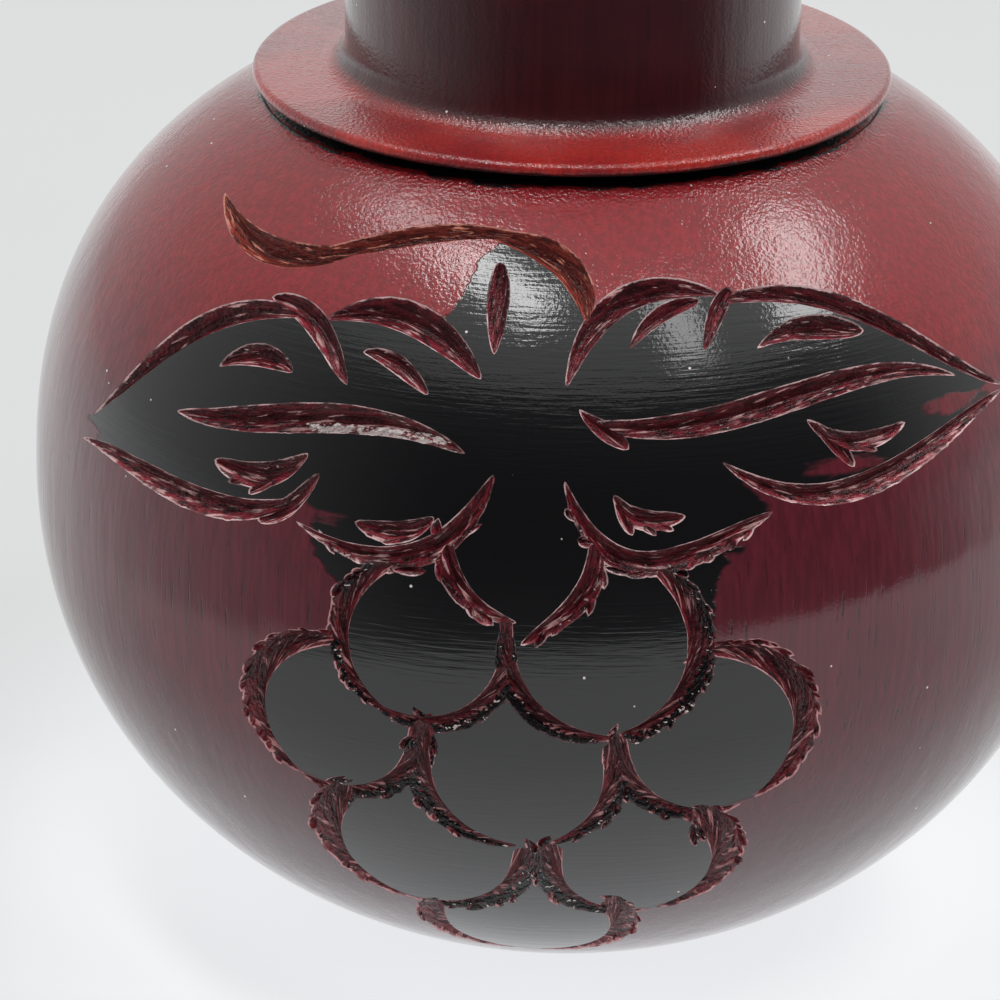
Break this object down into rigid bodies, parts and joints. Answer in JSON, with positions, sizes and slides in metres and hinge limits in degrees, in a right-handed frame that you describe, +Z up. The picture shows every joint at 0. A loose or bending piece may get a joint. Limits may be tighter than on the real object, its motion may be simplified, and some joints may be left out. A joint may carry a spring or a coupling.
{
  "type": "carved wooden gourd bottle",
  "caption": "Round turned wooden gourd bottle, hollow, with a disc collar, an open cylindrical neck and a carved vine, leaves and grapes.",
  "frame": {"origin": "middle of the flat foot, on the surface that the bottle stands on", "axes": "+Z up along the turning axis, out of the mouth; the carved front faces -Y"},
  "size_m": [0.12, 0.12, 0.1404],
  "materials": {
    "lacquered_wood": "turned wood in glossy dark red lacquer, black paint inside the carved leaves and grapes, bare red-brown wood in the gouged grooves"
  },
  "bodies": {
    "root": {"gourd_bottle": "lacquered_wood"}
  },
  "joints": []
}
